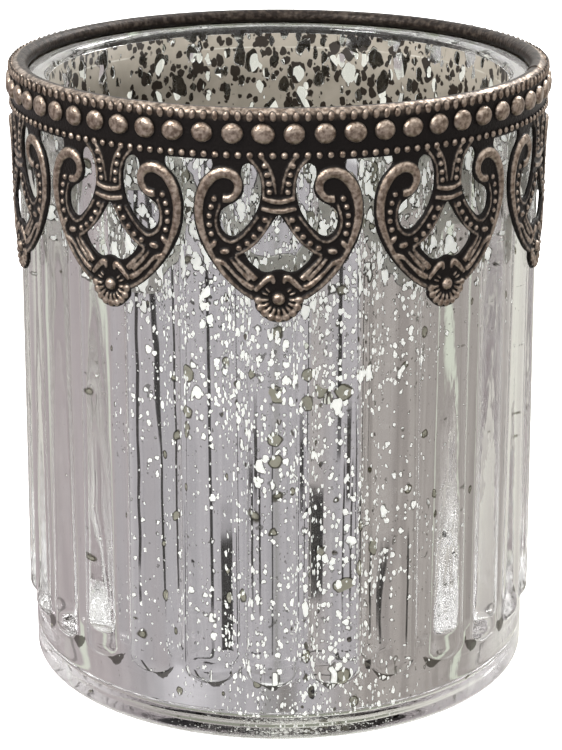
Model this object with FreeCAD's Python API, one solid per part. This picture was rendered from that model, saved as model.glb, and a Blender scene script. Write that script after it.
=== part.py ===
"""Ribbed glass tealight holder with a pierced and beaded metal collar.

All sizes are millimetres. +Z is up, the origin is the middle of the foot, and the
front of the holder, where one pendant hangs, faces -Y.
"""
import FreeCAD
import Part
import math
import os

# ---- overall -------------------------------------------------------------------
HEIGHT = 100.0              # foot to the top of the rolled rim
FRONT = -90.0               # direction of the front, degrees from +X

# ---- glass cup -----------------------------------------------------------------
FOOT_R = 41.0               # plain band under the ribs
FOOT_CORNER = 1.2           # rounding where the band meets the foot
RECESS_R = 33.0             # shallow hollow under the foot
RECESS_DEPTH = 0.4
SHOULDER_R = 40.4           # valley between ribs, near the lip
LIP_OUT_R = 39.9            # outside of the ground lip, inside the rolled rim
LIP_IN_R = 36.5             # mouth
LIP_Z = 97.8                # highest point of the lip
LIP_ROUND = 1.0
INNER_TOP_R = 36.4          # inside wall just under the lip
INNER_LOW_R = 35.6          # inside wall just above the floor
INNER_CORNER = 1.4
FLOOR_Z = 2.0               # top of the floor

RIB_COUNT = 26
RIB_PHASE = -1.5            # first rib from the front, degrees, positive to the right
RIB_CREST_LOW = 42.0        # crest radius near the foot
RIB_CREST_HIGH = 41.2       # crest radius under the collar
RIB_CURVE = 5.9             # radius of the round lobe
RIB_END_Z = 9.4             # lower tip of every rib
RIB_TOP_Z = 95.0
RIB_HALF_WIDTH = 3.5

# ---- silvering inside the cup --------------------------------------------------
FILM = 0.1                  # mirror film on the glass
PAINT = 0.1                 # backing paint on the film
FILM_TOP_Z = 96.5           # both stop short of the lip

# ---- collar --------------------------------------------------------------------
SHEET = 0.5                 # metal thickness
BAND_R = 42.2               # outside of the plain ground
BAND_LOW_Z = 92.4
ROLL_R = 1.3                # section radius of the rolled rim
ROLL_LIP_Z = 97.9           # where the roll comes down on the glass
SECTORS = 10                # one pendant in each

BIG_BEADS = 60
BIG_BEAD_Z = 96.4
BIG_BEAD_WIDE = 1.55        # radius of its outline
BIG_BEAD_OUT = 1.05         # how far it stands off the flat it sits on
SMALL_BEADS = 160
SMALL_BEAD_WIDE = 0.52
SMALL_BEAD_OUT = 0.45
SMALL_BEAD_ROWS = (98.3, 93.2)
FLAT_UP = 0.05              # every bead sits on its own small flat, just proud of the band
FLAT_MARGIN = 0.08          # flat left round a bead's outline
BEAD_SINK = 0.15            # how far a bead is rooted in the metal

# One half of a pendant, as (distance from its middle line, height) round the collar.
OUTLINE = [(9.5, 92.6), (9.6, 91.3), (11.3, 89.3), (12.3, 87.0), (12.5, 84.6), (12.1, 81.7),
           (11.0, 79.1), (9.3, 77.1), (7.2, 74.6), (5.0, 72.5), (3.1, 71.0), (2.9, 69.8),
           (1.6, 68.7), (0.0, 68.3)]
SIDE_OPENING = [(5.3, 91.6), (3.5, 91.5), (2.7, 90.0), (2.5, 88.1), (2.7, 85.8), (3.7, 83.7),
                (5.4, 81.9), (6.9, 81.3), (8.1, 82.6), (8.4, 84.2), (8.1, 85.7), (6.9, 86.1),
                (5.4, 87.0), (4.9, 88.6), (5.2, 90.2)]
MIDDLE_OPENING = [(0.0, 84.4), (0.9, 83.3), (2.2, 81.4), (4.7, 79.2), (4.5, 78.2), (3.6, 77.2),
                  (1.9, 76.8), (0.0, 76.9)]
SCROLL_RIDGE = [(7.5, 87.0), (6.1, 87.5), (5.9, 88.8), (6.8, 90.0), (8.2, 90.4), (9.9, 89.4),
                (11.4, 87.2), (11.9, 84.9), (11.5, 82.0), (10.5, 79.6), (9.2, 78.0),
                (6.9, 75.3), (4.4, 72.9), (2.6, 71.7)]
INNER_RIDGE = [(8.9, 85.9), (9.1, 84.2), (8.7, 82.3), (7.6, 80.8), (6.4, 80.6), (4.9, 81.6),
               (3.2, 83.4), (2.2, 85.4)]
LOWER_RIDGE = [(6.6, 78.6), (5.2, 76.4), (3.0, 74.4)]
STALK_RIDGE = [(2.3, 92.9), (1.1, 91.7), (0.5, 90.0), (0.2, 88.0)]
TIE_BARS = ((86.5, 2.2), (85.2, 2.2))
SCROLL_DOTS = [(9.3, 86.7), (9.8, 85.5), (10.1, 84.2), (10.1, 82.9), (9.8, 81.6)]
STALK_DOTS = [(2.2, 91.7), (1.8, 90.4), (1.5, 89.0), (1.3, 87.8)]
ARM_DOTS = [(2.1, 83.8), (2.8, 82.4), (3.6, 81.3), (4.7, 80.4), (5.8, 79.7)]
DOT_R = 0.45
DOT_SIDES = 8
RIDGE_WIDE = 1.25
RIDGE_THIN = 0.5
RIDGE_UP = 0.55             # how far the scroll ridge stands off the sheet
THIN_UP = 0.3
FLOWER_Z = 72.1
FLOWER_R = 3.1
BOSS_R = 1.0
BOSS_SIDES = 16
BOSS_UP = 0.9
PETALS = 12
PETAL_START_R = 1.4
PETAL_WIDTH = 0.8
STEP = 1.5                  # length of the straight steps that follow a pendant's curves
TINY = 1e-6

# ---- lapped joint of the collar ------------------------------------------------
LAP_ANGLE = 78.0            # to the right of the front
LAP_WIDTH = 5.0
LAP_UP = 0.3                # how far the upper end lies above the lower one
LAP_SPREAD = 65.0           # how far it reaches each side of the roll's top, degrees


def turned(shape, degrees):
    """Copy of a shape turned about the holder's own axis."""
    copy = shape.copy()
    copy.rotate(FreeCAD.Vector(0, 0, 0), FreeCAD.Vector(0, 0, 1), degrees)
    return copy


def point(radius, z):
    """A point of a turning profile, in the XZ plane."""
    return FreeCAD.Vector(radius, 0, z)


def bend(a, b, c):
    """Arc through three profile points."""
    return Part.Arc(point(*a), point(*b), point(*c)).toShape()


def line(a, b):
    """Straight edge between two profile points."""
    return Part.makeLine(point(*a), point(*b))


def spin(edges):
    """Solid of revolution from a closed chain of profile edges."""
    face = Part.Face(Part.Wire(edges))
    return face.revolve(FreeCAD.Vector(0, 0, 0), FreeCAD.Vector(0, 0, 1), 360)


def tube(inner, outer, low, high):
    """Plain ring between two radii."""
    big = Part.makeCylinder(outer, high - low, FreeCAD.Vector(0, 0, low))
    return big.cut(Part.makeCylinder(inner, high - low, FreeCAD.Vector(0, 0, low)))


def corner(centre_r, centre_z, radius, start, end):
    """Arc of a rounded profile corner, given by its centre and two angles."""
    def at(angle):
        turn = math.radians(angle)
        return (centre_r + radius * math.cos(turn), centre_z + radius * math.sin(turn))
    return bend(at(start), at((start + end) / 2), at(end))


def glass_blank():
    """The cup before its ribs: foot, wall, lip and hollow, turned in one piece."""
    foot_flat = FOOT_R - FOOT_CORNER
    lip_shoulder = LIP_OUT_R - LIP_ROUND
    lip_inside = LIP_IN_R + LIP_ROUND
    floor_edge = INNER_LOW_R - INNER_CORNER
    edges = [
        line((0, RECESS_DEPTH), (RECESS_R, RECESS_DEPTH)),
        line((RECESS_R, RECESS_DEPTH), (RECESS_R + RECESS_DEPTH, 0)),
        line((RECESS_R + RECESS_DEPTH, 0), (foot_flat, 0)),
        corner(foot_flat, FOOT_CORNER, FOOT_CORNER, -90, 0),
        line((FOOT_R, FOOT_CORNER), (SHOULDER_R, RIB_TOP_Z)),
        line((SHOULDER_R, RIB_TOP_Z), (LIP_OUT_R, LIP_Z - LIP_ROUND)),
        corner(lip_shoulder, LIP_Z - LIP_ROUND, LIP_ROUND, 0, 90),
        line((lip_shoulder, LIP_Z), (lip_inside, LIP_Z)),
        corner(lip_inside, LIP_Z - LIP_ROUND, LIP_ROUND, 90, 180),
        line((LIP_IN_R, LIP_Z - LIP_ROUND), (INNER_TOP_R, FILM_TOP_Z)),
        line((INNER_TOP_R, FILM_TOP_Z), (INNER_LOW_R, FLOOR_Z + INNER_CORNER)),
        corner(floor_edge, FLOOR_Z + INNER_CORNER, INNER_CORNER, 0, -90),
        line((floor_edge, FLOOR_Z), (0, FLOOR_Z)),
        line((0, FLOOR_Z), (0, RECESS_DEPTH)),
    ]
    return spin(edges)


def rib():
    """One round-backed rib with a thumb-shaped lower end, standing at +X."""
    low_z = RIB_END_Z + RIB_HALF_WIDTH
    length = RIB_TOP_Z - low_z
    shaft = Part.makeCylinder(RIB_CURVE, length)
    rounded = shaft.fuse(Part.makeSphere(RIB_CURVE)).removeSplitter()
    lean = math.degrees(math.atan((RIB_CREST_LOW - RIB_CREST_HIGH) / length))
    rounded.rotate(FreeCAD.Vector(0, 0, 0), FreeCAD.Vector(0, 1, 0), -lean)
    rounded.translate(FreeCAD.Vector(RIB_CREST_LOW - RIB_CURVE, 0, low_z))
    middle_of_wall = (INNER_TOP_R + SHOULDER_R) / 2
    keep = Part.makeBox(RIB_CURVE * 2, RIB_CURVE * 2, HEIGHT,
                        FreeCAD.Vector(middle_of_wall, -RIB_CURVE, 0))
    return rounded.common(keep)


def glass_cup():
    """The blank with all its ribs fused on."""
    one = rib()
    step = 360.0 / RIB_COUNT
    ribs = [turned(one, FRONT + RIB_PHASE + index * step) for index in range(RIB_COUNT)]
    return glass_blank().multiFuse(ribs)


def lining(outside, thickness):
    """Thin coat on the wall and floor of the cup, from one depth of coating inwards."""
    centre_r = INNER_LOW_R - INNER_CORNER
    centre_z = FLOOR_Z + INNER_CORNER
    inside = outside + thickness
    edges = [
        line((0, FLOOR_Z + outside), (centre_r, FLOOR_Z + outside)),
        corner(centre_r, centre_z, INNER_CORNER - outside, -90, 0),
        line((INNER_LOW_R - outside, centre_z), (INNER_TOP_R - outside, FILM_TOP_Z)),
        line((INNER_TOP_R - outside, FILM_TOP_Z), (INNER_TOP_R - inside, FILM_TOP_Z)),
        line((INNER_TOP_R - inside, FILM_TOP_Z), (INNER_LOW_R - inside, centre_z)),
        corner(centre_r, centre_z, INNER_CORNER - inside, 0, -90),
        line((centre_r, FLOOR_Z + inside), (0, FLOOR_Z + inside)),
        line((0, FLOOR_Z + inside), (0, FLOOR_Z + outside)),
    ]
    return spin(edges)


def collar_ring():
    """Upright band whose top is rolled over the lip of the glass."""
    centre_r = BAND_R - ROLL_R
    centre_z = HEIGHT - LAP_UP - ROLL_R
    inner = ROLL_R - SHEET
    edges = [
        line((BAND_R - SHEET, BAND_LOW_Z), (BAND_R, BAND_LOW_Z)),
        line((BAND_R, BAND_LOW_Z), (BAND_R, centre_z)),
        corner(centre_r, centre_z, ROLL_R, 0, 180),
        line((centre_r - ROLL_R, centre_z), (centre_r - ROLL_R, ROLL_LIP_Z)),
        line((centre_r - ROLL_R, ROLL_LIP_Z), (centre_r - inner, ROLL_LIP_Z)),
        line((centre_r - inner, ROLL_LIP_Z), (centre_r - inner, centre_z)),
        corner(centre_r, centre_z, inner, 180, 0),
        line((BAND_R - SHEET, centre_z), (BAND_R - SHEET, BAND_LOW_Z)),
    ]
    return spin(edges)


def on_band(u, z, radius):
    """Place of a point u along the collar and z up, at some radius, front at -Y."""
    angle = math.radians(FRONT) + u / BAND_R
    return FreeCAD.Vector(radius * math.cos(angle), radius * math.sin(angle), z)


def flat(u, z):
    """The same point seen from the front, in a plane outside the collar."""
    spot = on_band(u, z, BAND_R)
    return FreeCAD.Vector(spot.x, -BAND_R - RIDGE_UP * 4, z)


def smooth(points, closed):
    """Short straight steps along the smooth curve through a few points."""
    curve = Part.BSplineCurve()
    curve.interpolate([FreeCAD.Vector(u, z, 0) for u, z in points], PeriodicFlag=closed)
    count = int(curve.length() / STEP) + 2
    spots = curve.discretize(Number=count + 1)
    return [(spot.x, spot.y) for spot in spots]


def face_of(points):
    """Front-view face inside a closed run of points."""
    corners = [flat(*item) for item in points]
    if corners[0].distanceToPoint(corners[-1]) > TINY:
        corners.append(corners[0])
    return Part.Face(Part.makePolygon(corners))


def mirrored(points):
    """The left half of a right-hand point list, read backwards."""
    return [(-u, z) for u, z in reversed(points)]


def wrapped(face, inner, outer):
    """Bend a front-view face round the collar as a plate between two radii."""
    depth = FreeCAD.Vector(0, BAND_R / 2, 0)
    return face.extrude(depth).common(tube(inner, outer, FLOWER_Z - BAND_R, HEIGHT))


def ribbon(points, width):
    """Front-view face of a strip of even width along a smooth line."""
    path = smooth(points, False) if len(points) > 2 else points
    left, right = [], []
    last = len(path) - 1
    for index, (u, z) in enumerate(path):
        before = path[max(index - 1, 0)]
        after = path[min(index + 1, last)]
        run = math.hypot(after[0] - before[0], after[1] - before[1])
        side_u = -(after[1] - before[1]) / run * width / 2
        side_z = (after[0] - before[0]) / run * width / 2
        left.append((u + side_u, z + side_z))
        right.append((u - side_u, z - side_z))
    return face_of(left + right[::-1])


def stud(u, z, radius, sides, up):
    """Small many-sided boss standing on the sheet."""
    ring = []
    for index in range(sides):
        turn = 2 * math.pi * (index + 0.5) / sides
        ring.append((u + radius * math.cos(turn), z + radius * math.sin(turn)))
    return wrapped(face_of(ring), BAND_R - SHEET / 2, BAND_R + up)


def pendant_sheet():
    """Heart-shaped pendant with its three openings, cut from the band's own sheet."""
    plate = face_of(smooth(OUTLINE + mirrored(OUTLINE[:-1]), False))
    middle = MIDDLE_OPENING + mirrored(MIDDLE_OPENING[1:-1])
    for opening in (SIDE_OPENING, mirrored(SIDE_OPENING), middle):
        plate = plate.cut(face_of(smooth(opening, True)))
    return wrapped(plate, BAND_R - SHEET, BAND_R)


def raised_work():
    """Ridges, tie bars, beads and the flower that stand proud of one pendant."""
    low = BAND_R - SHEET / 2
    work = []
    for points, width, up in ((SCROLL_RIDGE, RIDGE_WIDE, RIDGE_UP),
                              (INNER_RIDGE, RIDGE_THIN, THIN_UP),
                              (LOWER_RIDGE, RIDGE_THIN, THIN_UP),
                              (STALK_RIDGE, RIDGE_THIN, THIN_UP)):
        for half in (points, mirrored(points)):
            work.append(wrapped(ribbon(half, width), low, BAND_R + up))
    for z, reach in TIE_BARS:
        work.append(wrapped(ribbon([(-reach, z), (reach, z)], RIDGE_THIN), low,
                            BAND_R + THIN_UP))
    for u, z in SCROLL_DOTS + STALK_DOTS + ARM_DOTS:
        for side in (u, -u):
            work.append(stud(side, z, DOT_R, DOT_SIDES, THIN_UP))
    work.append(stud(0, FLOWER_Z, BOSS_R, BOSS_SIDES, BOSS_UP))
    for index in range(PETALS):
        turn = 2 * math.pi * (index + 0.5) / PETALS
        ends = [(reach * math.sin(turn), FLOWER_Z + reach * math.cos(turn))
                for reach in (PETAL_START_R, FLOWER_R)]
        work.append(wrapped(ribbon(ends, PETAL_WIDTH), low, BAND_R + RIDGE_UP))
    return work


def bead(wide, out, radius, z):
    """Domed bead at +X whose outline is a circle on the flat at that radius."""
    ball = (wide ** 2 + out ** 2) / (2 * out)
    centre = FreeCAD.Vector(radius + out - ball, 0, z)
    cut_angle = math.degrees(math.asin((ball - out - BEAD_SINK) / ball))
    return Part.makeSphere(ball, centre, FreeCAD.Vector(1, 0, 0), cut_angle, 90, 360)


def bead_row(count, wide, out, z):
    """One sector's share of a row of beads, and the many-sided strip they sit on."""
    each = count // SECTORS
    step = 360.0 / count
    radius = BAND_R + FLAT_UP
    corner_r = radius / math.cos(math.radians(step / 2))
    outside, inside = [], []
    for index in range(each + 1):
        angle = math.radians(FRONT + (index - each / 2) * step)
        for run, reach in ((outside, corner_r), (inside, BAND_R - SHEET / 2)):
            run.append(FreeCAD.Vector(reach * math.cos(angle), reach * math.sin(angle),
                                      z - wide - FLAT_MARGIN))
    outline = outside + inside[::-1] + outside[:1]
    strip = Part.Face(Part.makePolygon(outline))
    row = [strip.extrude(FreeCAD.Vector(0, 0, 2 * (wide + FLAT_MARGIN)))]
    for index in range(each):
        turn = FRONT + (index - (each - 1) / 2) * step
        row.append(turned(bead(wide, out, radius, z), turn))
    return row


def sector_beads():
    """The beads over one pendant: the large row and the two small rows."""
    beads = bead_row(BIG_BEADS, BIG_BEAD_WIDE, BIG_BEAD_OUT, BIG_BEAD_Z)
    for z in SMALL_BEAD_ROWS:
        beads += bead_row(SMALL_BEADS, SMALL_BEAD_WIDE, SMALL_BEAD_OUT, z)
    return beads


def wedge(half_angle):
    """Slice of space round the front, used to take one sector of the ring."""
    reach = BAND_R * 2
    half = math.radians(half_angle)
    middle = math.radians(FRONT)
    tips = [FreeCAD.Vector(0, 0, 0)]
    for angle in (middle - half, middle + half):
        tips.append(FreeCAD.Vector(reach * math.cos(angle), reach * math.sin(angle), 0))
    tips.append(tips[0])
    return Part.Face(Part.makePolygon(tips)).extrude(FreeCAD.Vector(0, 0, HEIGHT * 2))


def collar_sector():
    """A tenth of the collar: band, rolled rim, beads and one pendant."""
    ring = collar_ring().common(wedge(180.0 / SECTORS))
    return ring.multiFuse([pendant_sheet()] + raised_work() + sector_beads()).removeSplitter()


def lap():
    """Overlap where one end of the rolled rim lies on the other, at the right."""
    centre_r = BAND_R - ROLL_R
    centre_z = HEIGHT - LAP_UP - ROLL_R
    low, high = ROLL_R - SHEET / 2, ROLL_R + LAP_UP

    def at(radius, angle):
        turn = math.radians(angle)
        return (centre_r + radius * math.cos(turn), centre_z + radius * math.sin(turn))

    start, end = 90 - LAP_SPREAD, 90 + LAP_SPREAD
    edges = [
        corner(centre_r, centre_z, high, start, end),
        line(at(high, end), at(low, end)),
        corner(centre_r, centre_z, low, end, start),
        line(at(low, start), at(high, start)),
    ]
    sweep = math.degrees(LAP_WIDTH / BAND_R)
    face = Part.Face(Part.Wire(edges))
    strip = face.revolve(FreeCAD.Vector(0, 0, 0), FreeCAD.Vector(0, 0, 1), sweep)
    return turned(strip, FRONT + LAP_ANGLE - sweep)


def collar():
    """All ten sectors joined into one stamped and rolled strip."""
    sector = collar_sector()
    step = 360.0 / SECTORS
    others = [turned(sector, index * step) for index in range(1, SECTORS)]
    return sector.multiFuse(others + [lap()])


def single(shape):
    """The one solid inside a fused result."""
    solids = shape.Solids
    print("solids", len(solids), "volume", round(shape.Volume, 1), "valid", shape.isValid())
    return solids[0] if len(solids) == 1 else Part.makeCompound(solids)


def main():
    os.makedirs("parts", exist_ok=True)
    for node, shape in (("glass_cup", glass_cup()),
                        ("mirror_film", lining(0.0, FILM)),
                        ("backing_paint", lining(FILM, PAINT)),
                        ("collar", collar())):
        solid = single(shape)
        solid.exportStep(os.path.join("parts", node + ".step"))
        box = solid.BoundBox
        print(node, [round(v, 2) for v in (box.XMin, box.YMin, box.ZMin,
                                           box.XMax, box.YMax, box.ZMax)])


main()
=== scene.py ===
# %% [markdown]
# # Ribbed tealight glass with a beaded metal collar
# The holder is a pressed glass tumbler with round ribs. Its inside is silvered and then
# painted, and the silver is mottled with specks and bare spots. Round the mouth sits a
# stamped strip of antique copper: a rolled rim, a band of beads and ten pierced pendants.
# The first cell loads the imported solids, which fix every size and place.

# %% Load the frame
import math
import random

import bmesh
import bpy
from mathutils import Matrix, Vector


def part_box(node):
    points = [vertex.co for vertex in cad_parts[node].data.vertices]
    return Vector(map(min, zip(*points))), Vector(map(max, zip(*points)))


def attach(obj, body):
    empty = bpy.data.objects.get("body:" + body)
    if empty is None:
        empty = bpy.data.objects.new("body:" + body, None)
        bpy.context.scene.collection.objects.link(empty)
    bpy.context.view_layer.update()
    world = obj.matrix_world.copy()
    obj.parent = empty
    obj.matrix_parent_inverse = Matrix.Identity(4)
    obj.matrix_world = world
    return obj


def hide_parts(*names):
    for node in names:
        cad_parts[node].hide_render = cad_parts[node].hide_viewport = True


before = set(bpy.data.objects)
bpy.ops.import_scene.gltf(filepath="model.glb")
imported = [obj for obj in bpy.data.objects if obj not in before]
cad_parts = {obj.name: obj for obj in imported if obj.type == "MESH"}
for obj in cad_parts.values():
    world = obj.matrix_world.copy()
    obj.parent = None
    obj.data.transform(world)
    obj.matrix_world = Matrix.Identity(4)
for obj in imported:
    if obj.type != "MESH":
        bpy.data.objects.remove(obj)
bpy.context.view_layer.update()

# %% [markdown]
# Blender works in metres, and this piece is best thought of in millimetres, so lengths
# are written as a number times MM. The heights and radii that matter are read back from
# the solids, and only the finer details get numbers of their own.

# %% Sizes shared by every piece
MM = 0.001
cup_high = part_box("glass_cup")[1]
film_low, film_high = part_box("mirror_film")
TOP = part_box("collar")[1].z
FLOOR_TOP = film_low.z
FILM_TOP = film_high.z
LIP = cup_high.z
WALL_TOP_R = film_high.x
BAND_R = 42.2 * MM
print("top", TOP, "lip", LIP, "film from", FLOOR_TOP, "to", FILM_TOP, "wall", WALL_TOP_R)

# %% [markdown]
# Three small helpers are used all through the lesson. One turns a mesh into an object
# that rides on the body of the holder. One takes a bmesh, closes its seams and points
# its faces outwards. One spins a profile into a turned shape, as on a potter's wheel.

# %% Helpers for pieces


def settle(work, weld=0.001 * MM):
    """Merge doubled points and point every face outwards."""
    bmesh.ops.remove_doubles(work, verts=work.verts, dist=weld)
    bmesh.ops.recalc_face_normals(work, faces=work.faces)


def piece(name, work, material, stands_for=()):
    """Make an object from a bmesh, smooth it, and hang it on the holder's body."""
    mesh = bpy.data.meshes.new(name)
    work.to_mesh(mesh)
    work.free()
    mesh.shade_smooth()
    made = bpy.data.objects.new(name, mesh)
    bpy.context.scene.collection.objects.link(made)
    mesh.materials.append(material)
    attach(made, "root")
    if stands_for:
        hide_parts(*stands_for)
    triangles = sum(len(face.vertices) - 2 for face in mesh.polygons)
    print(name, "triangles", triangles)
    return made


def spun(profile, steps):
    """Spin a profile of (radius, height) points right round the upright axis."""
    work = bmesh.new()
    spots = [work.verts.new((radius, 0, z)) for radius, z in profile]
    edges = [work.edges.new(pair) for pair in zip(spots, spots[1:])]
    bmesh.ops.spin(work, geom=spots + edges, cent=(0, 0, 0), axis=(0, 0, 1),
                   angle=math.tau, steps=steps, use_merge=True, use_duplicate=False)
    settle(work)
    return work


def arc(centre_r, centre_z, radius, start, end, steps):
    """Points of a rounded corner of a profile, angles in degrees."""
    found = []
    for index in range(steps + 1):
        turn = math.radians(start + (end - start) * index / steps)
        found.append((centre_r + radius * math.cos(turn), centre_z + radius * math.sin(turn)))
    return found


def run(start, end, steps):
    """Evenly spaced points of a straight stretch of a profile, without its end."""
    return [(start[0] + (end[0] - start[0]) * index / steps,
             start[1] + (end[1] - start[1]) * index / steps) for index in range(steps)]


# %% [markdown]
# Finishes are built from nodes. The Value class lets sums be written as Python sums, so
# `1 - mask` adds a Math node by itself, and Finish.node makes any other node from its
# type, its settings and what goes into its sockets.

# %% Helpers for finishes


class Value:
    """A number coming out of a node, ready for sums."""

    def __init__(self, nodes, socket):
        self.nodes = nodes
        self.socket = socket

    def maths(self, operation, first, second=0.0):
        return self.nodes.node("Math", {"operation": operation}, {0: first, 1: second})

    def __add__(self, other):
        return self.maths("ADD", self, other)

    def __radd__(self, other):
        return self.maths("ADD", other, self)

    def __sub__(self, other):
        return self.maths("SUBTRACT", self, other)

    def __rsub__(self, other):
        return self.maths("SUBTRACT", other, self)

    def __mul__(self, other):
        return self.maths("MULTIPLY", self, other)

    def __rmul__(self, other):
        return self.maths("MULTIPLY", other, self)

    def __truediv__(self, other):
        return self.maths("DIVIDE", self, other)

    def __neg__(self):
        return self.maths("MULTIPLY", self, -1.0)

    def bigger(self, other):
        return self.maths("MAXIMUM", self, other)

    def smaller(self, other):
        return self.maths("MINIMUM", self, other)

    def size(self):
        return self.maths("ABSOLUTE", self)

    def rise(self, low, high):
        """0 below low, 1 above high and smooth between; low may be the larger."""
        if low > high:
            return 1 - self.rise(high, low)
        settings = {"interpolation_type": "SMOOTHSTEP"}
        return self.nodes.node("MapRange", settings, {0: self, 1: low, 2: high, 3: 0.0, 4: 1.0})


class Nodes:
    """A node tree and the one way this lesson adds nodes to it."""

    def __init__(self, tree):
        self.tree = tree
        tree.nodes.clear()

    def node(self, kind, settings=None, sockets=None, output=0):
        made = self.tree.nodes.new("ShaderNode" + kind)
        for key, setting in (settings or {}).items():
            setattr(made, key, setting)
        for key, value in (sockets or {}).items():
            socket = made.inputs[key]
            if isinstance(value, Value):
                self.tree.links.new(value.socket, socket)
            elif isinstance(value, tuple) and len(value) == 3 and socket.type == "RGBA":
                socket.default_value = value + (1.0,)
            else:
                socket.default_value = value
        return Value(self, made.outputs[output])

    def also(self, value, output):
        """Another output of the node a value comes from."""
        return Value(self, value.socket.node.outputs[output])

    def blend(self, factor, first, second):
        """Mix two colours: the first where factor is 0, the second where it is 1."""
        return self.node("Mix", {"data_type": "RGBA"}, {0: factor, 6: first, 7: second}, 2)

    def place(self):
        """Where a point is on the holder, in millimetres."""
        spot = self.node("TexCoord", output=3)
        return self.node("VectorMath", {"operation": "SCALE"}, {0: spot, 3: 1 / MM})

    def tall(self, vector, times):
        """The same place with heights squeezed, which draws a pattern out upwards."""
        return self.node("VectorMath", {"operation": "MULTIPLY"},
                         {0: vector, 1: (1.0, 1.0, 1.0 / times)})

    def parts(self, vector):
        first = self.node("SeparateXYZ", None, {0: vector})
        return first, self.also(first, 1), self.also(first, 2)

    def noise(self, vector, scale, detail=2.0, output=0):
        return self.node("TexNoise", None,
                         {"Vector": vector, "Scale": scale, "Detail": detail}, output)


def finish(name):
    """A new material with an empty tree."""
    material = bpy.data.materials.new(name)
    material.use_nodes = True
    return material, Nodes(material.node_tree)


def close(nodes, surface):
    """Send a shader to the material's output."""
    nodes.node_out = nodes.tree.nodes.new("ShaderNodeOutputMaterial")
    nodes.tree.links.new(surface.socket, nodes.node_out.inputs["Surface"])


# %% [markdown]
# ## The glass
# Pressed glass of this kind is thick, faintly green and very clear. A Principled shader
# with full transmission bends the light as real glass does. Pressed glass is never quite
# true, so a slow, shallow ripple is laid over the surface, and at the right there are
# tighter wrinkles, drawn out upwards.

# %% Glass finish
glass, nodes = finish("clear_glass")
place = nodes.place()
WRINKLE_DEPTH = 0.12
ripple = nodes.noise(place, 0.09, 1.0)
wrinkle = nodes.noise(nodes.tall(place, 4.0), 0.8, 2.0)
right = nodes.parts(place)[0].rise(18.0, 30.0)
swell = ripple + wrinkle * right * WRINKLE_DEPTH
bump = nodes.node("Bump", None, {"Strength": 0.14, "Distance": 0.0012, "Height": swell})
close(nodes, nodes.node("BsdfPrincipled", None, {
    "Base Color": (0.965, 0.985, 0.962), "Roughness": 0.0, "IOR": 1.5,
    "Transmission Weight": 1.0, "Normal": bump}))
print("glass finish ready")

# %% [markdown]
# The cup is one turned shape whose outer wall is pushed out into ribs. A rib is part of
# a leaning cylinder with a ball at its lower end, so the distance from the axis to that
# shape gives the wall at any angle and height. The wall takes whichever lies further out,
# plain wall or rib, with a soft blend between them where fire has rounded the moulding.

# %% Glass sizes
FOOT_R = 41.0 * MM
SHOULDER_R = 40.4 * MM
RIB_TOP = 95.0 * MM
RIB_END = 9.4 * MM
RIB_HALF = 3.5 * MM
RIB_CURVE = 5.9 * MM
RIB_BLUNT = 1.5
RIB_LOW_R = 42.0 * MM
RIB_HIGH_R = 41.2 * MM
RIBS = 26
RIB_STEP = math.tau / RIBS
RIB_PHASE = math.radians(-1.5)
RIB_MELT = 0.22 * MM
WALL_LOW_R = 35.6 * MM
WALL_CORNER = 1.4 * MM
LIP_OUT_R = 39.9 * MM
LIP_IN_R = 36.5 * MM


def soft_max(a, b, reach):
    """The larger of two lengths, rounded off where they nearly agree."""
    mix = max(reach - abs(a - b), 0.0) / reach
    return max(a, b) + mix * mix * reach / 4


def wall_radius(angle, z):
    """Outside of the ribbed wall at an angle from the front and a height."""
    share = min(max(z / RIB_TOP, 0.0), 1.0)
    plain = FOOT_R + (SHOULDER_R - FOOT_R) * share
    off = (angle - RIB_PHASE + RIB_STEP / 2) % RIB_STEP - RIB_STEP / 2
    start = RIB_END + RIB_HALF / RIB_BLUNT
    climb = max(z - start, 0.0) / (RIB_TOP - start)
    centre = RIB_LOW_R + (RIB_HIGH_R - RIB_LOW_R) * climb - RIB_CURVE
    drop = max(start - z, 0.0) * RIB_BLUNT
    inside = RIB_CURVE ** 2 - drop ** 2 - (centre * math.sin(off)) ** 2
    if inside <= 0:
        return plain
    return soft_max(plain, centre * math.cos(off) + math.sqrt(inside), RIB_MELT)


# %% Spin the cup and push out its ribs
RECESS = 0.4 * MM
profile = [(0.0, RECESS), (20 * MM, RECESS), (32.7 * MM, RECESS), (33.05 * MM, 0.3 * MM),
           (33.3 * MM, 0.06 * MM), (33.8 * MM, 0.0), (39.0 * MM, 0.0)]
profile += arc(FOOT_R - 1.2 * MM, 1.2 * MM, 1.2 * MM, -90, 0, 8)
profile += run((FOOT_R, 2.0 * MM), (FOOT_R, 8.0 * MM), 4)
profile += run((FOOT_R, 8.0 * MM), (FOOT_R, 15.0 * MM), 40)
profile += run((FOOT_R, 15.0 * MM), (SHOULDER_R, RIB_TOP - 0.4 * MM), 14)
profile += [(SHOULDER_R, RIB_TOP - 0.4 * MM), (SHOULDER_R, RIB_TOP), (40.2 * MM, 95.9 * MM)]
profile += arc(LIP_OUT_R - 1.0 * MM, LIP - 1.0 * MM, 1.0 * MM, 0, 90, 8)
profile += arc(LIP_IN_R + 1.0 * MM, LIP - 1.0 * MM, 1.0 * MM, 90, 180, 8)
profile += run((WALL_TOP_R, FILM_TOP), (WALL_LOW_R, FLOOR_TOP + WALL_CORNER), 12)
profile += arc(WALL_LOW_R - WALL_CORNER, FLOOR_TOP + WALL_CORNER, WALL_CORNER, 0, -90, 10)
profile += [(20 * MM, FLOOR_TOP), (0.0, FLOOR_TOP)]

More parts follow.
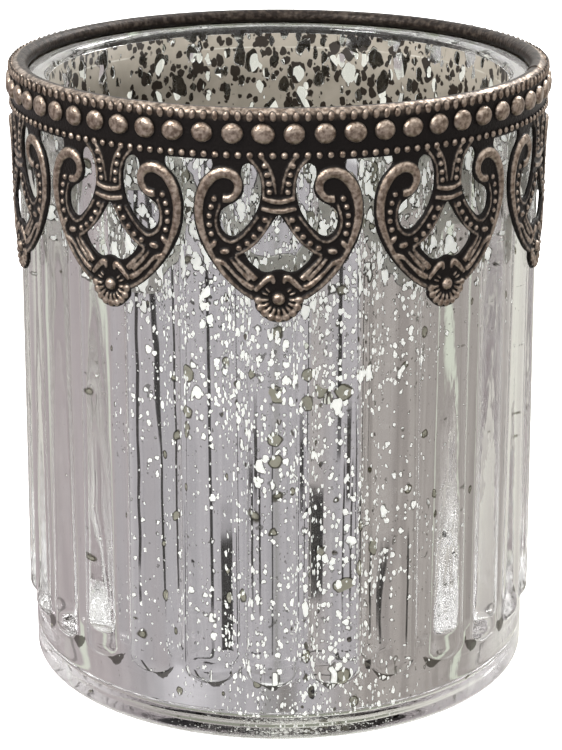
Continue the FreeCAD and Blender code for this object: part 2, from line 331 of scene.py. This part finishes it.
work = spun(profile, RIBS * 20)
for vert in work.verts:
    radius = math.hypot(vert.co.x, vert.co.y)
    outer = radius > SHOULDER_R - 0.01 * MM and 7.9 * MM < vert.co.z < RIB_TOP - 0.01 * MM
    if outer:
        angle = math.atan2(vert.co.x, -vert.co.y)
        grown = wall_radius(angle, vert.co.z) / radius
        vert.co.x *= grown
        vert.co.y *= grown
piece("glass_cup_ribbed", work, glass, ["glass_cup"])

# %% [markdown]
# ## The silvering
# Real silvered glass like this is sprayed inside with silver and then with a solvent that
# lifts it in specks. Seen from outside it is a soft lilac mirror. Some spots are bare, so
# that the eye looks through; in others the silver has gone cloudy and white; in others
# only the warm grey paint is left. Ball-shaped cells of a Voronoi pattern make the spots,
# each with its own random size, and a slow noise decides where they crowd together.
# The ribs magnify what lies behind them sideways, so the spots are drawn out upwards.
# Behind the lower end of each rib, where the glass turns in, a small dark crescent is painted
# into the silver: painted shade for the dark that the rib ends show.

# %% Where the specks are


def spots(nodes, place, scale, reach, keep, wobble=0.35):
    """How far inside a randomly sized round spot a point is, below 0 outside them.

    keep says what share of the cells has a spot, and may vary over the surface.
    """
    wave = nodes.noise(place, scale * 1.7, 1.0, 1)
    bent = nodes.node("VectorMath", {"operation": "MULTIPLY_ADD"},
                      {0: wave, 1: (wobble / scale,) * 3, 2: place})
    cell = nodes.node("TexVoronoi", {"feature": "F1"},
                      {"Vector": bent, "Scale": scale, "Randomness": 1.0})
    chance = nodes.node("SeparateColor", None, {0: nodes.also(cell, 1)})
    return (chance - (1 - keep)).smaller(0.5) * reach - cell


def crowding(nodes, place):
    """From 0 to 1: many specks at the front and the back, fewer at the two sides."""
    x, y, z = nodes.parts(place)
    radius = nodes.node("VectorMath", {"operation": "LENGTH"},
                        {0: nodes.node("CombineXYZ", None, {0: x, 1: y})}, 1)
    side = ((x / radius) - 0.03).size()
    slow = nodes.noise(place, 0.07, 2.0)
    upper = z.rise(50.0, 64.0) * 0.16 + z.rise(64.0, 74.0) * 0.34
    return (side.rise(0.95, 0.18) * 0.66 + (slow - 0.5) * 1.1 + upper + 0.07).rise(-0.05, 0.98)


def bare(nodes, place, crowd):
    """Spots where both silver and paint are gone."""
    drawn = nodes.tall(place, 1.7)
    behind = nodes.parts(place)[1].rise(-5.0, 20.0)
    small = spots(nodes, drawn, 0.70, 1.05, crowd * 0.28 + behind * 0.46, 0.4)
    large = spots(nodes, drawn, 0.36, 1.0, crowd * 0.28 + behind * 0.56, 0.45)
    return small.bigger(large).rise(0.0, 0.03)


# %% Mirror finish
mirror, nodes = finish("mottled_silver")
place = nodes.place()
crowd = crowding(nodes, place)
holes = bare(nodes, place, crowd)
drawn = nodes.tall(place, 2.0)
dust = spots(nodes, nodes.tall(place, 2.6), 2.7, 1.0, crowd * 0.60 + 0.04, 0.6)
fine = spots(nodes, drawn, 1.45, 1.0, crowd * 0.56 + 0.05, 0.7)
close_up = nodes.parts(place)[2].rise(62.0, 74.0)
milky = spots(nodes, drawn, 0.66, 0.95, crowd * 0.46 + close_up * 0.34 - 0.02, 0.9)
stain = spots(nodes, nodes.tall(place, 1.4), 0.42, 0.85, crowd * 0.35 + 0.16)
white = dust.bigger(fine).bigger(milky)
x, y, z = nodes.parts(place)
# Painted shade: a dark crescent in the silver behind the lower end of each rib.
RIB_END_SHADE_HALF = 2.1
RIB_END_SHADE_Z = 8.1
turns = nodes.node("Math", {"operation": "ARCTAN2"}, {0: x, 1: -y}) - RIB_PHASE
share = nodes.node("Math", {"operation": "FRACT"}, {0: turns * (1 / RIB_STEP) + 0.5}) - 0.5
off = (share * (RIB_STEP * WALL_LOW_R / MM / RIB_END_SHADE_HALF)).size().smaller(1.0)
rib_end_shade = (1 - off * off) * 1.2 - (z - RIB_END_SHADE_Z - off * off * 1.6).size()
rib_end_shade = (rib_end_shade + (nodes.noise(place, 1.6, 4.0) - 0.5) * 0.8).rise(0.0, 0.25)
haze = nodes.noise(place, 0.35, 4.0)
tone = nodes.blend(haze, (0.86, 0.85, 0.855), (0.92, 0.912, 0.915))
tone = nodes.blend(rib_end_shade * 0.9, tone, (0.10, 0.095, 0.075))
tone = nodes.blend(stain.rise(-0.07, -0.01), tone, (0.15, 0.145, 0.10))
tone = nodes.blend(stain.rise(0.0, 0.05), tone, (0.42, 0.40, 0.32))
border = white.rise(-0.10, -0.02) * (0.7 + close_up * 0.28)
border_tone = nodes.blend(close_up, (0.20, 0.20, 0.17), (0.08, 0.078, 0.065))
tone = nodes.blend(border, tone, border_tone)
tone = nodes.blend(white.rise(0.0, 0.05), tone, (0.98, 0.98, 0.95))
dull = white.bigger(stain).rise(-0.01, 0.04)
# Painted light: the white flecks glow a little, so that they stay bright in the collar's shade.
painted_glow = nodes.blend(white.rise(0.0, 0.05), (0.0, 0.0, 0.0), (1.0, 1.0, 0.96))
close(nodes, nodes.node("BsdfPrincipled", None, {
    "Base Color": tone, "Metallic": 1 - dull, "Roughness": 0.03 + dull * 0.5,
    "Alpha": 1 - holes, "Emission Color": painted_glow, "Emission Strength": 0.42}))
print("mirror finish ready")

# %% Paint finish
paint, nodes = finish("backing_paint")
place = nodes.place()
x, y, z = nodes.parts(place)
holes = bare(nodes, place, crowding(nodes, place))
clump = nodes.noise(place, 0.16, 2.0).rise(0.30, 0.62)
drawn = nodes.tall(place, 1.25)
dark = spots(nodes, drawn, 0.85, 1.15, clump * 0.60 + 0.30, 0.45)
dark = dark.bigger(spots(nodes, drawn, 0.46, 1.05, clump * 0.48 + 0.24, 0.5))
cloud = nodes.noise(place, 0.4, 3.0)
tone = nodes.blend(cloud, (0.21, 0.193, 0.155), (0.34, 0.305, 0.26))
# Painted highlight: a faint light ring round the inner wall near 94 mm, where a step in the
# wall would catch the light.
painted_highlight_ring = (z - 94.1).size().rise(0.20, 0.06) * nodes.noise(place, 0.12, 1.0).rise(0.38, 0.55)
tone = nodes.blend(painted_highlight_ring * 0.6, tone, (0.50, 0.48, 0.42))
tone = nodes.blend(dark.rise(-0.03, 0.04), tone, (0.022, 0.017, 0.013))
close(nodes, nodes.node("BsdfPrincipled", None, {
    "Base Color": tone, "Specular IOR Level": 0.12, "Roughness": 0.5, "Alpha": 1 - holes}))
print("paint finish ready")

# %% [markdown]
# Film and paint are thin shells lining the wall and floor. The film is let into the glass
# by a hair, so that no air gap shows between the two.

# %% Spin the two linings


def lining(depth, thickness):
    """Closed thin shell that follows the inside of the cup, depth inwards from it."""
    centre_r = WALL_LOW_R - WALL_CORNER
    centre_z = FLOOR_TOP + WALL_CORNER
    near, far = depth, depth + thickness
    line = [(0.0, FLOOR_TOP + near), (20 * MM, FLOOR_TOP + near)]
    line += arc(centre_r, centre_z, WALL_CORNER - near, -90, 0, 10)
    line += run((WALL_LOW_R - near, centre_z), (WALL_TOP_R - near, FILM_TOP), 12)[1:]
    line += [(WALL_TOP_R - near, FILM_TOP), (WALL_TOP_R - far, FILM_TOP)]
    line += run((WALL_TOP_R - far, FILM_TOP), (WALL_LOW_R - far, centre_z), 12)[1:]
    line += arc(centre_r, centre_z, WALL_CORNER - far, 0, -90, 10)
    line += [(20 * MM, FLOOR_TOP + far), (0.0, FLOOR_TOP + far)]
    return spun(line, 240)


piece("silver_film", lining(-0.02 * MM, 0.08 * MM), mirror, ["mirror_film"])
piece("paint_coat", lining(0.08 * MM, 0.08 * MM), paint, ["backing_paint"])

# %% [markdown]
# ## The antique metal
# The strip is copper alloy darkened almost black and then rubbed, so the raised work is
# bright and the hollows stay dark. How far a point lies from the holder's axis says how
# raised it is, and so how rubbed. The rim has its own measure, its height. The back of the
# strip was never rubbed. Its colour is painted light and shade: pale at the front, so that
# the silver behind it reflects it bright, and dark at the rear.

# %% Metal finish
metal, nodes = finish("rubbed_copper")
place = nodes.place()
x, y, z = nodes.parts(place)
out = nodes.node("VectorMath", {"operation": "LENGTH"},
                 {0: nodes.node("CombineXYZ", None, {0: x, 1: y})}, 1) - BAND_R / MM
grain = nodes.noise(place, 2.2, 4.0)
blotch = nodes.noise(place, 0.45, 3.0)
uneven = (grain - 0.5) * 0.22 + (blotch - 0.5) * 0.20
raised = (out + uneven).rise(0.10, 0.42)
edge = (out + 0.55 + uneven).size().rise(0.62, 0.30) * z.rise(TOP / MM - 1.25, TOP / MM - 0.8)
roll = z.rise(TOP / MM - 2.0, TOP / MM - 1.2)
mottle = nodes.noise(place, 1.1, 5.0).rise(0.38, 0.62)
rubbed = raised.bigger(edge * (0.30 + mottle * 0.65)).bigger(roll * mottle * 0.11)
back = out.rise(-0.38, -0.48) * z.rise(TOP / MM - 1.6, TOP / MM - 2.6)
smudge = nodes.noise(place, 1.5, 5.0).rise(0.32, 0.68)
copper = nodes.blend(smudge, (0.17, 0.125, 0.095), (0.47, 0.385, 0.315))
patina = nodes.blend(roll, (0.006, 0.0045, 0.004), (0.011, 0.007, 0.005))
tone = nodes.blend(rubbed, patina, copper)
# Painted light and shade: the strip's back is pale at the front, so the silver reflects it
# bright, and dark at the rear.
painted_back_light = nodes.blend(y.rise(-12.0, 12.0), (0.80, 0.78, 0.75), (0.06, 0.05, 0.04))
tone = nodes.blend(back, tone, painted_back_light)
bump = nodes.node("Bump", None, {"Strength": 0.6, "Distance": 0.0002, "Height": grain})
close(nodes, nodes.node("BsdfPrincipled", None, {
    "Base Color": tone, "Metallic": 0.2 + rubbed.bigger(back) * 0.75,
    "Specular IOR Level": 0.14, "Roughness": 0.40 - rubbed * 0.06, "Normal": bump}))
print("metal finish ready")

# %% [markdown]
# ## Rim and band
# The strip's top edge is rolled over the glass. Its section is a hook, which is spun round
# in one go. The rows of beads are domes set on the band: sixty large ones, and two rows of
# a hundred and sixty small ones, so a dome is kept to a few dozen faces.

# %% Spin the rolled rim and the band
SHEET = 0.5 * MM
ROLL_R = 1.3 * MM
BAND_LOW = 92.4 * MM
roll_mid_r = BAND_R - ROLL_R
roll_mid_z = TOP - 0.15 * MM - ROLL_R
hook = [(BAND_R - SHEET, BAND_LOW + 0.1 * MM), (BAND_R - 0.35 * MM, BAND_LOW),
        (BAND_R - 0.1 * MM, BAND_LOW), (BAND_R, BAND_LOW + 0.1 * MM)]
hook += run((BAND_R, BAND_LOW + 0.3 * MM), (BAND_R, roll_mid_z), 6)
hook += arc(roll_mid_r, roll_mid_z, ROLL_R, 0, 180, 20)
hook += [(roll_mid_r - ROLL_R, 98.0 * MM), (roll_mid_r - ROLL_R + 0.2 * MM, 97.85 * MM),
         (roll_mid_r - ROLL_R + SHEET, 98.0 * MM)]
hook += arc(roll_mid_r, roll_mid_z, ROLL_R - SHEET, 180, 0, 10)
hook += [(BAND_R - SHEET, BAND_LOW + 0.3 * MM), (BAND_R - SHEET, BAND_LOW + 0.1 * MM)]
work = spun(hook, 300)
piece("rolled_band", work, metal, ["collar"])

# %% Lap the two ends of the strip
lap_turn = math.radians(78.0)
lap_half = 2.5 * MM / BAND_R
lap = bmesh.new()
section = arc(roll_mid_r, roll_mid_z, ROLL_R + 0.15 * MM, 15, 160, 14)
section += arc(roll_mid_r, roll_mid_z, ROLL_R - 0.1 * MM, 160, 15, 14)
corners = [lap.verts.new((radius, 0, z)) for radius, z in section]
bmesh.ops.spin(lap, geom=[lap.faces.new(corners)], cent=(0, 0, 0), axis=(0, 0, 1),
               angle=2 * lap_half, steps=10, use_merge=False, use_duplicate=False)
settle(lap)
bmesh.ops.rotate(lap, cent=(0, 0, 0), verts=lap.verts,
                 matrix=Matrix.Rotation(lap_turn - math.pi / 2 - lap_half, 3, "Z"))
piece("rim_lap", lap, metal, ["collar"])

# %% Set the beads
random.seed(7)


def fill_out(spots, dent):
    """Flatten the crown of a unit dome and press one shallow dent into it."""
    turn = random.uniform(0, math.tau)
    reach = random.uniform(0.1, 0.5)
    low = (reach * math.cos(turn), reach * math.sin(turn))
    for spot in spots:
        away = math.hypot(spot.co.x - low[0], spot.co.z - low[1])
        height = 1 - (1 - min(abs(spot.co.y), 1.0)) ** 1.7
        height -= dent * math.exp(-(away / 0.38) ** 2)
        spot.co.y = math.copysign(max(height, 0.0), spot.co.y)


def bead_row(work, count, z, halves, faces, dent=0.0):
    """A ring of domes, each one a little different; halves are wide, out and high."""
    for index in range(count):
        angle = (index + 0.5) * math.tau / count
        made = bmesh.ops.create_uvsphere(work, u_segments=faces[0], v_segments=faces[1],
                                         radius=1.0)["verts"]
        if dent:
            fill_out(made, dent * random.uniform(0.0, 1.0) ** 2)
        wide = halves[0] * random.uniform(0.93, 1.04)
        deep = halves[1] * random.uniform(0.88, 1.0)
        tall = halves[2] * random.uniform(0.93, 1.04)
        bmesh.ops.scale(work, vec=(wide, deep, tall), verts=made)
        bmesh.ops.rotate(work, cent=(0, 0, 0), verts=made,
                         matrix=Matrix.Rotation(random.uniform(-0.3, 0.3), 3, "Y"))
        bmesh.ops.translate(work, vec=(0, -BAND_R, z), verts=made)
        bmesh.ops.rotate(work, cent=(0, 0, 0), verts=made,
                         matrix=Matrix.Rotation(angle, 3, "Z"))


large = bmesh.new()
bead_row(large, 60, 96.35 * MM, (1.68 * MM, 1.0 * MM, 1.55 * MM), (16, 12), 0.35)
piece("large_beads", large, metal, ["collar"])
small = bmesh.new()
bead_row(small, 160, 98.85 * MM, (0.55 * MM, 0.52 * MM, 0.80 * MM), (8, 6))
bead_row(small, 160, 93.2 * MM, (0.56 * MM, 0.52 * MM, 0.56 * MM), (8, 6))
piece("small_beads", small, metal, ["collar"])

# %% [markdown]
# ## Pendants
# Each pendant is stamped from the same sheet: a heart with a scroll at each side, three
# openings, strings of tiny beads and a flower at its tip. It is drawn flat, as the die
# maker would draw it, in width along the band and height. The plate is a filled curve, the
# ridges are round strings, the beads are balls. Melting them together with a fine voxel
# remesh gives the soft corners of stamped metal, and only then is it bent round the band.

# %% Outlines of the plate, right half, in millimetres
OUTLINE = [(9.5, 92.9), (9.6, 91.3), (11.3, 89.3), (12.2, 87.0), (12.4, 84.6), (12.0, 81.7),
           (10.9, 79.1), (9.5, 76.9), (7.2, 74.3), (5.0, 72.5), (3.6, 71.8), (3.4, 70.6),
           (2.5, 69.5), (1.3, 68.65), (0.0, 68.4)]
SIDE_OPENING = [(4.7, 91.9), (3.5, 91.6), (2.75, 90.1), (2.5, 88.2), (2.85, 86.0), (3.7, 84.1),
                (5.2, 82.2), (6.7, 81.25), (7.9, 81.8), (8.5, 83.3), (8.3, 84.8), (7.3, 85.7),
                (6.2, 86.3), (5.2, 87.4), (5.0, 88.9), (5.4, 90.6)]
MIDDLE_OPENING = [(0.0, 84.4), (0.65, 83.7), (1.8, 82.0), (3.2, 80.4), (4.9, 78.9), (4.6, 78.1),
                  (3.8, 77.1), (2.0, 76.0), (0.0, 76.4)]


def mirrored(points):
    """The left half of a right-hand run of points, read backwards."""
    return [(-u, z) for u, z in reversed(points)]


def drawing(name, loops):
    """A flat filled curve through closed loops of (along, up) points."""
    data = bpy.data.curves.new(name, "CURVE")
    data.dimensions = "2D"
    data.fill_mode = "BOTH"
    data.extrude = 0.25
    for loop in loops:
        spline = data.splines.new("BEZIER")
        spline.bezier_points.add(len(loop) - 1)
        for spot, (u, z) in zip(spline.bezier_points, loop):
            spot.co = (u, z, 0.0)
            spot.handle_left_type = spot.handle_right_type = "AUTO"
        spline.use_cyclic_u = True
        spline.resolution_u = 6
    return bpy.data.objects.new(name, data)


def string(name, points, lift=0.0):
    """A round string through (along, up, half width) points, lifted off the plate."""
    data = bpy.data.curves.new(name, "CURVE")
    data.dimensions = "3D"
    data.bevel_depth = 1.0
    data.bevel_resolution = 3
    data.use_fill_caps = True
    spline = data.splines.new("NURBS")
    spline.points.add(len(points) - 1)
    for spot, (u, z, half) in zip(spline.points, points):
        spot.co = (u, z, lift, 1.0)
        spot.radius = half
    spline.order_u = 3
    spline.use_endpoint_u = True
    spline.resolution_u = 6
    return bpy.data.objects.new(name, data)


def melted_in(work, source, flatten=1.0):
    """Add the mesh of a curve object to a bmesh and throw the curve away."""
    bpy.context.scene.collection.objects.link(source)
    graph = bpy.context.evaluated_depsgraph_get()
    mesh = bpy.data.meshes.new_from_object(source.evaluated_get(graph))
    mesh.transform(Matrix.Diagonal((1, 1, flatten, 1)))
    work.from_mesh(mesh)
    bpy.data.meshes.remove(mesh)
    bpy.data.objects.remove(source)


# %% Ridges, right half: (along, up, half width) in millimetres
SCROLL = [(8.0, 86.75, 0.62), (7.4, 86.7, 0.66), (6.6, 86.95, 0.58), (5.9, 87.8, 0.6),
          (5.65, 88.9, 0.68), (6.1, 90.0, 0.78), (7.2, 90.65, 0.86), (8.5, 90.6, 0.88),
          (9.8, 89.8, 0.86), (10.8, 88.4, 0.82), (11.45, 86.5, 0.76), (11.6, 84.3, 0.7),
          (11.2, 82.0, 0.62), (10.3, 79.7, 0.52), (9.4, 77.9, 0.46), (8.1, 75.8, 0.42),
          (6.5, 74.1, 0.40), (4.9, 72.8, 0.38), (3.7, 72.1, 0.40)]
THIN = [
    [(8.4, 85.9, 0.2), (8.9, 84.6, 0.25), (9.1, 83.0, 0.25), (8.5, 81.2, 0.25),
     (7.0, 80.2, 0.25), (5.7, 80.8, 0.25), (4.2, 82.4, 0.25), (2.9, 84.3, 0.25)],
    [(1.0, 84.2, 0.24), (1.6, 82.8, 0.24), (2.6, 81.2, 0.24), (3.7, 80.0, 0.24),
     (5.0, 79.0, 0.26), (6.2, 78.4, 0.28)],
    [(4.4, 93.0, 0.26), (3.3, 91.9, 0.24), (2.5, 90.6, 0.24), (2.15, 89.0, 0.24),
     (2.15, 87.2, 0.24)],
    [(2.6, 93.2, 0.30), (1.4, 91.7, 0.28), (0.75, 90.0, 0.26), (0.4, 87.6, 0.24)],
]
LEAVES = [
    [(6.2, 78.3, 0.26), (5.9, 77.7, 0.28), (4.8, 76.6, 0.32), (3.9, 75.7, 0.42),
     (3.3, 74.9, 0.5)],
    [(6.9, 77.9, 0.26), (6.0, 76.7, 0.32), (5.0, 75.7, 0.34), (4.2, 74.8, 0.34)],
    [(9.1, 77.5, 0.46), (8.2, 77.4, 0.42), (7.4, 76.8, 0.30), (6.5, 75.7, 0.30),
     (5.6, 74.9, 0.36), (4.7, 74.1, 0.46), (3.7, 73.6, 0.46)],
]
TIES = [[(-2.3, 87.0, 0.34), (-1.1, 86.6, 0.42), (0.0, 86.45, 0.42), (1.1, 86.6, 0.42),
         (2.3, 87.0, 0.34)],
        [(-2.5, 85.5, 0.34), (-1.2, 85.2, 0.42), (0.0, 85.05, 0.42), (1.2, 85.2, 0.42),
         (2.5, 85.5, 0.34)]]
SCROLL_BEADS = [(9.25, 86.7), (9.75, 85.45), (10.0, 84.15), (10.0, 82.8), (9.7, 81.5)]
STALK_BEADS = [(2.0, 91.7), (1.65, 90.4), (1.4, 89.1), (1.3, 87.9)]
ARM_BEADS = [(1.95, 83.8), (2.65, 82.5), (3.5, 81.3), (4.5, 80.3), (5.7, 79.55)]
LONG_BEADS = [((9.4, 79.95), (0.8, 0.44), -55), ((7.75, 78.95), (0.85, 0.5), -8)]


# %% Balls and petals


def ball(work, spot, halves, turn=0.0, lift=0.0):
    """A squashed ball on the plate, turned in its plane by some degrees."""
    made = bmesh.ops.create_uvsphere(work, u_segments=14, v_segments=8, radius=1.0)["verts"]
    bmesh.ops.scale(work, vec=halves, verts=made)
    bmesh.ops.rotate(work, cent=(0, 0, 0), verts=made,
                     matrix=Matrix.Rotation(math.radians(turn), 3, "Z"))
    bmesh.ops.translate(work, vec=(spot[0], spot[1], lift), verts=made)


FLOWER = (0.0, 72.0)


def radial(work, turn, reach, halves, lift):
    """A ball at some reach from the flower's middle, pointing outwards."""
    way = (math.cos(math.radians(turn)), math.sin(math.radians(turn)))
    ball(work, (FLOWER[0] + way[0] * reach, FLOWER[1] + way[1] * reach), halves, turn, lift)


def flower(work):
    """Round boss in a hollow, a scalloped fan below it and two curled petals above."""
    ball(work, FLOWER, (0.95, 0.95, 0.8), lift=0.28)
    for index in range(9):
        radial(work, 184 + index * 21.5, 2.95, (0.66, 0.62, 0.50), 0.22)
        radial(work, 184 + index * 21.5, 2.2, (0.85, 0.27, 0.42), 0.25)
    for side in (-1, 1):
        curl = [(side * 3.4, 73.2, 0.34), (side * 2.7, 74.0, 0.42), (side * 1.9, 74.8, 0.46),
                (side * 1.15, 75.35, 0.5), (side * 0.8, 75.0, 0.4), (side * 0.75, 74.3, 0.28)]
        melted_in(work, string("curl", curl, 0.25))
        radial(work, 90 + side * 68, 2.1, (0.6, 0.17, 0.4), 0.25)
        radial(work, 90 + side * 50, 2.0, (0.5, 0.17, 0.4), 0.25)


# %% Put one pendant together, flat
flat = bmesh.new()
outline = OUTLINE + mirrored(OUTLINE[:-1])
middle = MIDDLE_OPENING + mirrored(MIDDLE_OPENING[1:-1])
melted_in(flat, drawing("plate", [outline, SIDE_OPENING, mirrored(SIDE_OPENING), middle]))
for side in (1, -1):
    for line in [SCROLL] + THIN + LEAVES:
        drawn_line = [(side * u, z, half) for u, z, half in line]
        melted_in(flat, string("ridge", drawn_line, 0.24 if line is SCROLL else 0.37), 0.82)
    for u, z in SCROLL_BEADS + STALK_BEADS + ARM_BEADS:
        ball(flat, (side * u, z), (0.46, 0.46, 0.46), lift=0.25)
    for spot, halves, turn in LONG_BEADS:
        ball(flat, (side * spot[0], spot[1]), halves + (0.5,), side * turn, 0.2)
for line in TIES:
    melted_in(flat, string("tie", line, 0.25))
flower(flat)
print("flat pendant faces", len(flat.faces))

# %% Melt it into one stamped skin
VOXEL = 0.13


def melted(work, voxel, rounds):
    """Voxel remesh a bmesh and relax it a little."""
    mesh = bpy.data.meshes.new("melt")
    work.to_mesh(mesh)
    work.free()
    holder = bpy.data.objects.new("melt", mesh)
    bpy.context.scene.collection.objects.link(holder)
    remesh = holder.modifiers.new("remesh", "REMESH")
    remesh.mode = "VOXEL"
    remesh.voxel_size = voxel
    graph = bpy.context.evaluated_depsgraph_get()
    result = bpy.data.meshes.new_from_object(holder.evaluated_get(graph))
    made = bmesh.new()
    made.from_mesh(result)
    for _ in range(rounds):
        bmesh.ops.smooth_vert(made, verts=made.verts, factor=0.5, use_axis_x=True,
                              use_axis_y=True, use_axis_z=True)
    bpy.data.objects.remove(holder)
    bpy.data.meshes.remove(mesh)
    bpy.data.meshes.remove(result)
    return made


stamped = melted(flat, VOXEL, 1)
print("stamped pendant faces", len(stamped.faces))

# %% Bend it round the band
middle_r = BAND_R / MM - 0.25
for vert in stamped.verts:
    angle = vert.co.x / middle_r
    radius = (middle_r + vert.co.z) * MM
    vert.co = Vector((radius * math.sin(angle), -radius * math.cos(angle), vert.co.y * MM))
bmesh.ops.recalc_face_normals(stamped, faces=stamped.faces)
print("bent pendant ready")

# %% Hang ten of them
PENDANTS = 10
for index in range(PENDANTS):
    work = stamped.copy()
    bmesh.ops.rotate(work, cent=(0, 0, 0), verts=work.verts,
                     matrix=Matrix.Rotation(index * math.tau / PENDANTS, 3, "Z"))
    piece("scroll_pendant_%02d" % (index + 1), work, metal, ["collar"])
stamped.free()

# %% [markdown]
# ## Studio
# The holder stands on a white sweep. The mirror shows the room, so the room matters most:
# lilac grey curtains low down, rosier to the left and warmer to the right, pale backdrops
# behind, and bright soft light from above. A few dark uprights draw the thin black lines
# in the ribs, and a few hanging cloths draw the broader bars. The foot needs light that
# has been turned many times inside the glass, so more bounces are followed than usual.

# %% Floor
sweep, nodes = finish("white_sweep")
white_light = nodes.node("Emission", None, {"Color": (1.0, 1.0, 1.0), "Strength": 0.9})
matte = nodes.node("BsdfDiffuse", None, {"Color": (0.8, 0.8, 0.8)})
close(nodes, nodes.node("AddShader", None, {0: white_light, 1: matte}))
work = bmesh.new()
bmesh.ops.create_circle(work, cap_ends=True, radius=4.0, segments=96)
mesh = bpy.data.meshes.new("floor")
work.to_mesh(mesh)
work.free()
mesh.materials.append(sweep)
floor = bpy.data.objects.new("floor", mesh)
bpy.context.scene.collection.objects.link(floor)
floor.visible_glossy = False
floor.visible_transmission = False
print("floor ready")

# %% Room light
room = bpy.data.worlds.new("studio")
bpy.context.scene.world = room
room.use_nodes = True
nodes = Nodes(room.node_tree)
way = nodes.node("TexCoord", output=0)
x, y, z = nodes.parts(way)
round_angle = nodes.node("Math", {"operation": "ARCTAN2"}, {0: x, 1: -y}) * (180 / math.pi)


def upright(centre, half, soft):
    """1 inside a vertical stripe of the room, angles in degrees from the front."""
    return (half - (round_angle - centre).size()).rise(-soft, soft)


def cloth(centre, half, low_end, high_end):
    """1 inside a piece of dark cloth that hangs between two elevations."""
    below = climb.rise(high_end + 0.5, high_end - 0.5)
    return upright(centre, half, 0.3) * climb.rise(low_end - 0.4, low_end + 0.4) * below


# %% Curtains and backdrops
climb = nodes.node("Math", {"operation": "ARCSINE"}, {0: z}) * (180 / math.pi)
folds_at = nodes.node("CombineXYZ", None, {0: round_angle * 0.16, 1: climb * 0.05})
folds = nodes.noise(folds_at, 1.0, 2.0).rise(0.34, 0.66)
tone = nodes.blend(folds, (0.45, 0.43, 0.455), (0.53, 0.50, 0.53))
rosy = nodes.blend(folds, (0.46, 0.405, 0.415), (0.51, 0.45, 0.46))
tone = nodes.blend(round_angle.rise(-55.0, -110.0), tone, rosy)
warm = nodes.blend(folds, (0.35, 0.315, 0.30), (0.45, 0.41, 0.39))
tone = nodes.blend(round_angle.rise(15.0, 45.0), tone, warm)
under = climb.rise(-27.5, -30.0)
tone = nodes.blend(under * upright(-48.0, 12.0, 12.0), tone, (0.72, 0.69, 0.73))
tone = nodes.blend(under * upright(3.0, 5.0, 6.0), tone, (0.27, 0.25, 0.24))
tone = nodes.blend(upright(-6.0, 2.0, 3.0) * 0.8, tone, (0.33, 0.32, 0.31))
tone = nodes.blend(round_angle.rise(108.0, 124.0), tone, (0.60, 0.56, 0.54))
tone = nodes.blend(round_angle.rise(126.0, 160.0), tone, (0.88, 0.86, 0.79))
tone = nodes.blend(round_angle.rise(-146.0, -166.0) * climb.rise(-21.5, -18.5), tone,
                   (0.74, 0.73, 0.67))
tone = nodes.blend(climb.rise(-40.0, -62.0), tone, (0.30, 0.31, 0.25))
tone = nodes.blend(climb.rise(-3.0, 34.0), tone, (1.6, 1.6, 1.6))
print("curtains ready")

# %% Dark uprights and hanging cloths: (centre, half width, low end, high end) in degrees
lines = [(-64.2, 1.7, -25.8, 20.0), (-28.2, 1.1, -27.0, 20.0), (19.3, 1.5, -22.4, 20.0),
         (43.8, 2.8, -22.6, 20.0), (-3.0, 0.5, -27.5, -22.0), (62.5, 0.6, -23.2, -19.0)]
cloths = [(-37.3, 2.3, -27.6, -24.4), (33.8, 3.3, -26.0, -23.4), (55.6, 1.2, -27.0, -24.6),
          (10.8, 1.5, -23.9, -21.6), (14.3, 0.8, -26.4, -22.8), (7.2, 0.9, -26.4, -22.8)]
dark = upright(-128.0, 1.6, 0.8).bigger(upright(126.0, 1.6, 0.8)) * 0.6
for centre, half, low_end, high_end in lines + cloths:
    dark = dark.bigger(cloth(centre, half, low_end, high_end))
light = upright(-118.0, 2.6, 1.5).bigger(upright(103.0, 2.6, 1.5))
tone = nodes.blend(dark * climb.rise(30.0, 5.0) * 0.97, tone, (0.015, 0.014, 0.011))
tone = nodes.blend(light * 0.75, tone, (0.86, 0.92, 0.78))
print("dark strips", len(lines) + len(cloths))

# %% Light the room
seen = nodes.node("LightPath", output=0)
tone = nodes.blend(seen, tone, (1.0, 1.0, 1.0))
glow = nodes.node("Background", None, {"Color": tone, "Strength": 1.0})
end = room.node_tree.nodes.new("ShaderNodeOutputWorld")
room.node_tree.links.new(glow.socket, end.inputs["Surface"])
bpy.context.scene.cycles.max_bounces = 32
bpy.context.scene.cycles.transmission_bounces = 24
bpy.context.scene.cycles.glossy_bounces = 28
bpy.context.scene.cycles.transparent_max_bounces = 16
print("room ready")

# %% Key light


def lamp(name, spot, aim, size, power, colour):
    """A square soft light that looks at a point."""
    data = bpy.data.lights.new(name, "AREA")
    data.size = size
    data.energy = power
    data.color = colour
    made = bpy.data.objects.new(name, data)
    made.location = spot
    way_to = Vector(aim) - Vector(spot)
    made.rotation_euler = way_to.to_track_quat("-Z", "Y").to_euler()
    bpy.context.scene.collection.objects.link(made)


lamp("key_light", (-0.55, -0.5, 0.75), (0, 0, 0.08), 0.35, 9.0, (1.0, 0.99, 0.97))
lamp("back_light", (0.45, 0.55, 0.7), (0, 0, 0.08), 0.3, 6.0, (1.0, 1.0, 1.0))
print("lights ready")

# %% [markdown]
# ## Camera
# A long lens, a little above the rim and looking down into the mouth.

# %% Camera
eye = bpy.data.cameras.new("camera")
eye.lens = 112.46
eye.sensor_width = 36.0
eye.clip_start = 0.01
camera = bpy.data.objects.new("camera", eye)
camera.location = (0.0, -367.3 * MM, 169.5 * MM)
camera.rotation_euler = (math.radians(90 - 18.555), 0.0, math.radians(-0.057))
bpy.context.scene.collection.objects.link(camera)
bpy.context.scene.camera = camera
view = bpy.context.scene.view_settings
view.view_transform = "Standard"
view.look = "None"
print("camera ready")
